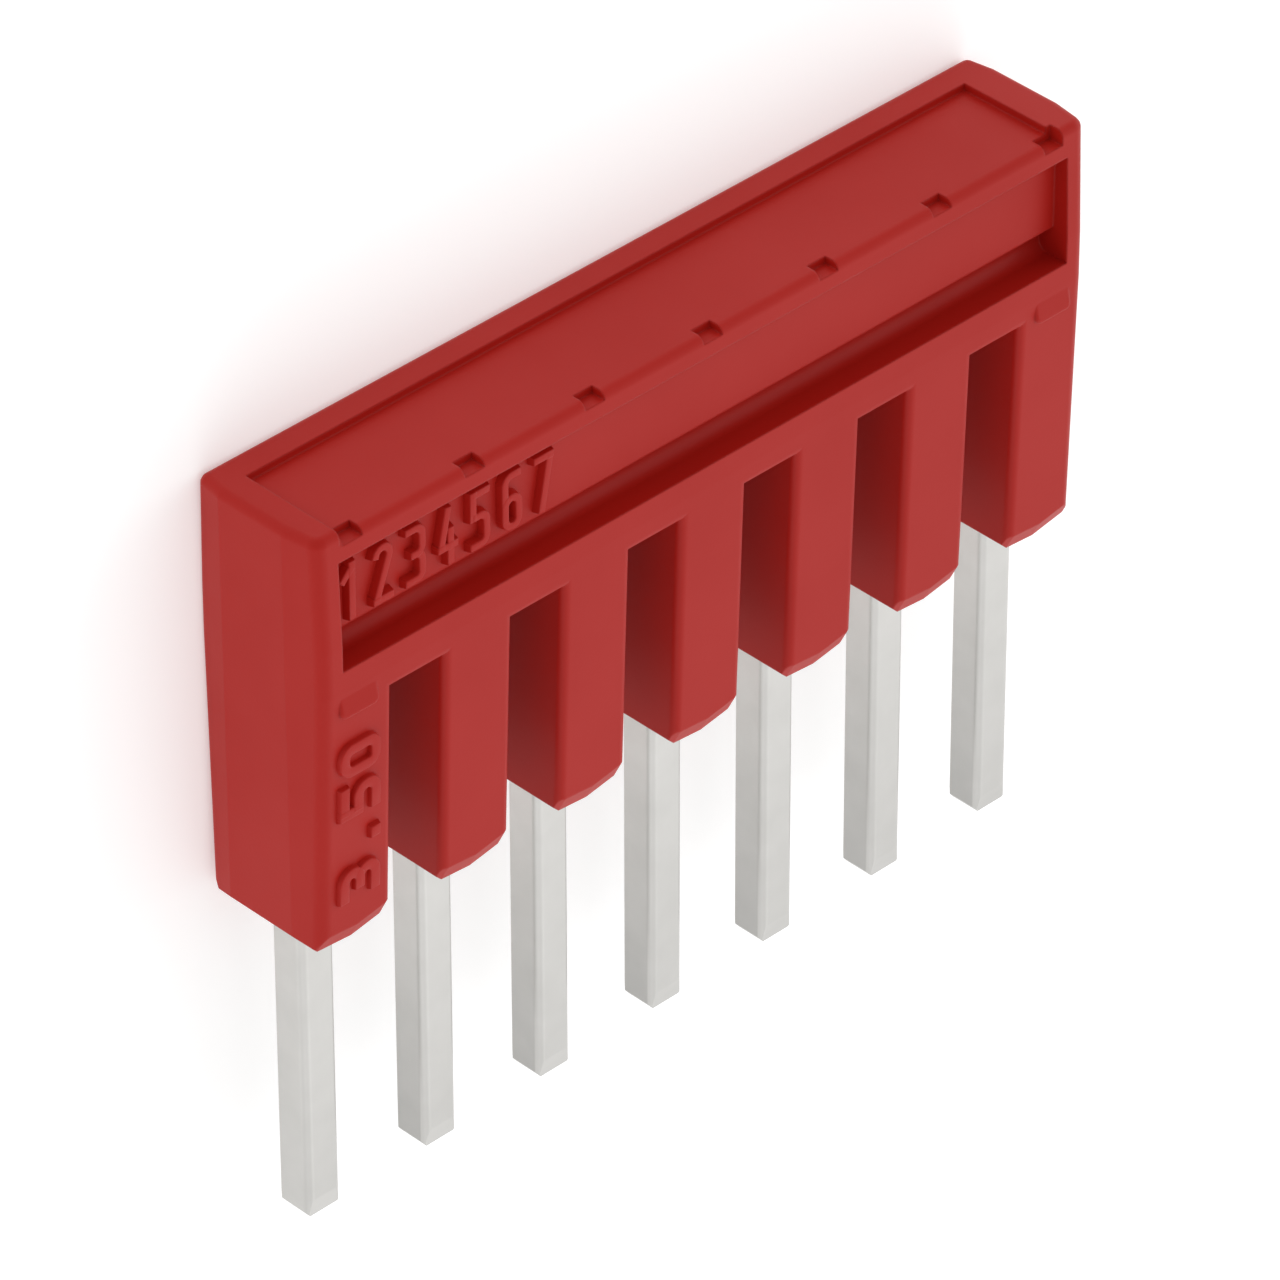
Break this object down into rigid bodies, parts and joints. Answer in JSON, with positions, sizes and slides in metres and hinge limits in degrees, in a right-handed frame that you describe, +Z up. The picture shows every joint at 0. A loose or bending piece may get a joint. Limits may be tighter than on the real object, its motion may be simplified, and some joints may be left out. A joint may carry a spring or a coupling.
{
  "type": "insulated terminal jumper",
  "caption": "Push-in jumper for a row of rail terminals: a comb of square pins joined by a bar inside a red moulded body, with slotted legs, a marking window and a notched top.",
  "frame": {"origin": "centre of the footprint, on the surface that the back face lies on", "axes": "+X along the row of pins, +Y out of the pin tips, +Z up out of the front face with the marking window"},
  "size_m": [0.0232, 0.019, 0.0039],
  "materials": {
    "red_moulding": "satin moulded polyamide, lightly textured",
    "tinned_contact": "matt electro-tinned copper"
  },
  "bodies": {
    "root": {"insulating_body": "red_moulding", "contact_comb": "tinned_contact"}
  },
  "joints": []
}
